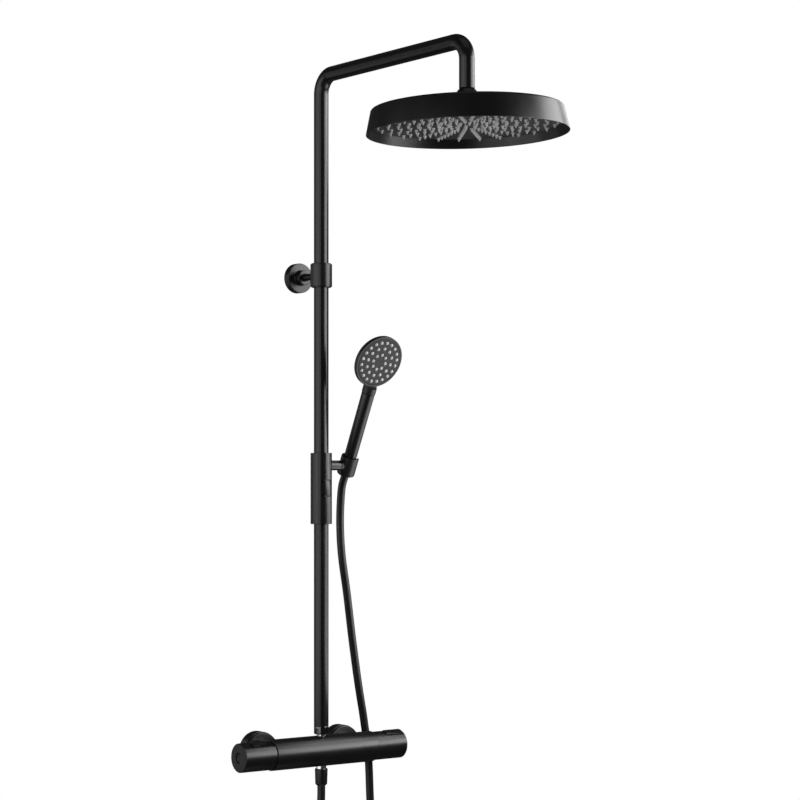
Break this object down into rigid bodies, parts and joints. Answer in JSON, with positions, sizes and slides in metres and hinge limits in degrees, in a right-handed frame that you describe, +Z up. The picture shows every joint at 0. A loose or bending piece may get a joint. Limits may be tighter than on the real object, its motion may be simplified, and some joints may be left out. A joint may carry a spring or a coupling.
{
  "type": "rainfall shower column",
  "caption": "Exposed shower column: bar mixer with two knobs, tall riser with wall bracket, swan-neck arm, round rain head, slider and hand shower on a hose.",
  "frame": {"origin": "centre of the upper wall bracket's back face, where it lies on the wall", "axes": "+X to the right along the wall as seen from the room, +Y into the wall, +Z up"},
  "size_m": [0.2928, 0.5548, 1.3848],
  "materials": {
    "mixer_body": "satin matt black coating",
    "thermostat_cartridge": "moulded",
    "diverter_cartridge": "moulded",
    "cartridge_nut_left": "turned",
    "cartridge_nut_right": "turned",
    "wall_union_left": "turned",
    "wall_union_right": "turned",
    "union_gasket_left": "moulded",
    "union_gasket_right": "moulded",
    "union_nut_left": "satin matt black coating",
    "union_nut_right": "satin matt black coating",
    "check_valve_left": "moulded",
    "check_valve_right": "moulded",
    "rosette_left": "satin matt black coating",
    "rosette_right": "satin matt black coating",
    "riser_nipple": "polished",
    "riser_lock_ring": "polished",
    "outlet_nipple": "polished",
    "hose_nut_lower": "satin matt black coating",
    "hose_washer": "moulded",
    "lower_riser": "satin matt black coating",
    "riser_coupling": "turned",
    "bracket_collar": "satin matt black coating",
    "collar_grub_screw": "plain",
    "bracket_spindle": "satin matt black coating",
    "bracket_cover": "satin matt black coating",
    "bracket_base": "satin matt black coating",
    "wall_screw_left": "plain",
    "wall_screw_right": "plain",
    "hose": "smooth black sleeve",
    "gooseneck": "satin matt black coating",
    "swivel_ball": "polished",
    "ball_seat": "moulded",
    "ball_nut": "satin matt black coating",
    "head_shell": "satin matt black coating",
    "spray_plate": "moulded, matt grey",
    "nozzle_mat": "grey silicone",
    "temperature_handle": "satin matt black coating",
    "temperature_end_cap": "satin matt black coating",
    "temperature_stop_button": "moulded, satin",
    "flow_handle": "satin matt black coating",
    "flow_tab": "satin matt black coating",
    "flow_end_cap": "satin matt black coating",
    "slider_bush_upper": "moulded",
    "slider_bush_lower": "moulded",
    "slider_sleeve": "satin matt black coating",
    "holder_bolt": "plain",
    "slider_button": "satin matt black coating",
    "holder_cup": "satin matt black coating",
    "hand_grip": "satin matt black coating",
    "hand_connector": "turned",
    "hose_nut_upper": "satin matt black coating",
    "hand_washer": "moulded",
    "hand_head_shell": "satin matt black coating",
    "hand_face_plate": "moulded, matt grey"
  },
  "bodies": {
    "column": {"mixer_body": "mixer_body", "thermostat_cartridge": "thermostat_cartridge", "diverter_cartridge": "diverter_cartridge", "cartridge_nut_left": "cartridge_nut_left", "cartridge_nut_right": "cartridge_nut_right", "wall_union_left": "wall_union_left", "wall_union_right": "wall_union_right", "union_gasket_left": "union_gasket_left", "union_gasket_right": "union_gasket_right", "union_nut_left": "union_nut_left", "union_nut_right": "union_nut_right", "check_valve_left": "check_valve_left", "check_valve_right": "check_valve_right", "rosette_left": "rosette_left", "rosette_right": "rosette_right", "riser_nipple": "riser_nipple", "riser_lock_ring": "riser_lock_ring", "outlet_nipple": "outlet_nipple", "hose_nut_lower": "hose_nut_lower", "hose_washer": "hose_washer", "lower_riser": "lower_riser", "riser_coupling": "riser_coupling", "bracket_collar": "bracket_collar", "collar_grub_screw": "collar_grub_screw", "bracket_spindle": "bracket_spindle", "bracket_cover": "bracket_cover", "bracket_base": "bracket_base", "wall_screw_left": "wall_screw_left", "wall_screw_right": "wall_screw_right", "hose": "hose"},
    "arm": {"gooseneck": "gooseneck", "swivel_ball": "swivel_ball"},
    "ball_seat": {"ball_seat": "ball_seat"},
    "head": {"ball_nut": "ball_nut", "head_shell": "head_shell", "spray_plate": "spray_plate", "nozzle_mat": "nozzle_mat"},
    "temperature_knob": {"temperature_handle": "temperature_handle", "temperature_end_cap": "temperature_end_cap"},
    "temperature_stop": {"temperature_stop_button": "temperature_stop_button"},
    "flow_knob": {"flow_handle": "flow_handle", "flow_tab": "flow_tab", "flow_end_cap": "flow_end_cap"},
    "slider_bushes": {"slider_bush_upper": "slider_bush_upper", "slider_bush_lower": "slider_bush_lower"},
    "slider": {"slider_sleeve": "slider_sleeve", "holder_bolt": "holder_bolt"},
    "slider_button": {"slider_button": "slider_button"},
    "holder": {"holder_cup": "holder_cup"},
    "hand_shower": {"hand_grip": "hand_grip", "hand_connector": "hand_connector", "hose_nut_upper": "hose_nut_upper", "hand_washer": "hand_washer", "hand_head_shell": "hand_head_shell", "hand_face_plate": "hand_face_plate"}
  },
  "joints": [
    {"name": "temperature_turn", "type": "hinge", "parent": "column", "child": "temperature_knob", "pos_m": [-0.119, -0.066, -0.711], "axis": [1, 0, 0], "range_deg": [-60, 200]},
    {"name": "temperature_button_press", "type": "slide", "parent": "temperature_knob", "child": "temperature_stop", "axis": [0, 0.3746, -0.9272], "range_m": [0, 0.002], "stiffness_N_per_m": 500, "springref_m": -0.001},
    {"name": "flow_turn", "type": "hinge", "parent": "column", "child": "flow_knob", "pos_m": [0.119, -0.066, -0.711], "axis": [1, 0, 0], "range_deg": [-90, 90]},
    {"name": "arm_swivel", "type": "hinge", "parent": "column", "child": "arm", "pos_m": [0, -0.066, 0], "axis": [0, 0, 1], "range_deg": [-45, 45]},
    {"name": "head_tilt_x", "type": "hinge", "parent": "arm", "child": "ball_seat", "pos_m": [0, -0.414, 0.217], "axis": [1, 0, 0], "range_deg": [-6, 7]},
    {"name": "head_tilt_y", "type": "hinge", "parent": "ball_seat", "child": "head", "pos_m": [0, -0.414, 0.217], "axis": [0, 1, 0], "range_deg": [-6, 7]},
    {"name": "slider_slide", "type": "slide", "parent": "column", "child": "slider_bushes", "axis": [0, 0, 1], "range_m": [-0.295, 0.24], "deforming": ["hose"]},
    {"name": "slider_turn", "type": "hinge", "parent": "slider_bushes", "child": "slider", "pos_m": [0, -0.066, -0.3186], "axis": [0, 0, 1], "range_deg": [-90, 45], "deforming": ["hose"]},
    {"name": "slider_button_press", "type": "slide", "parent": "slider", "child": "slider_button", "axis": [0, 1, 0], "range_m": [0, 0.0015], "stiffness_N_per_m": 500, "springref_m": -0.001},
    {"name": "holder_tilt", "type": "hinge", "parent": "slider", "child": "holder", "pos_m": [0.049, -0.066, -0.284], "axis": [1, 0, 0], "range_deg": [-12, 34], "deforming": ["hose"]},
    {"name": "handset_lift", "type": "slide", "parent": "holder", "child": "hand_shower", "axis": [0, -0.4384, 0.8988], "range_m": [0, 0.05], "deforming": ["hose"]}
  ]
}
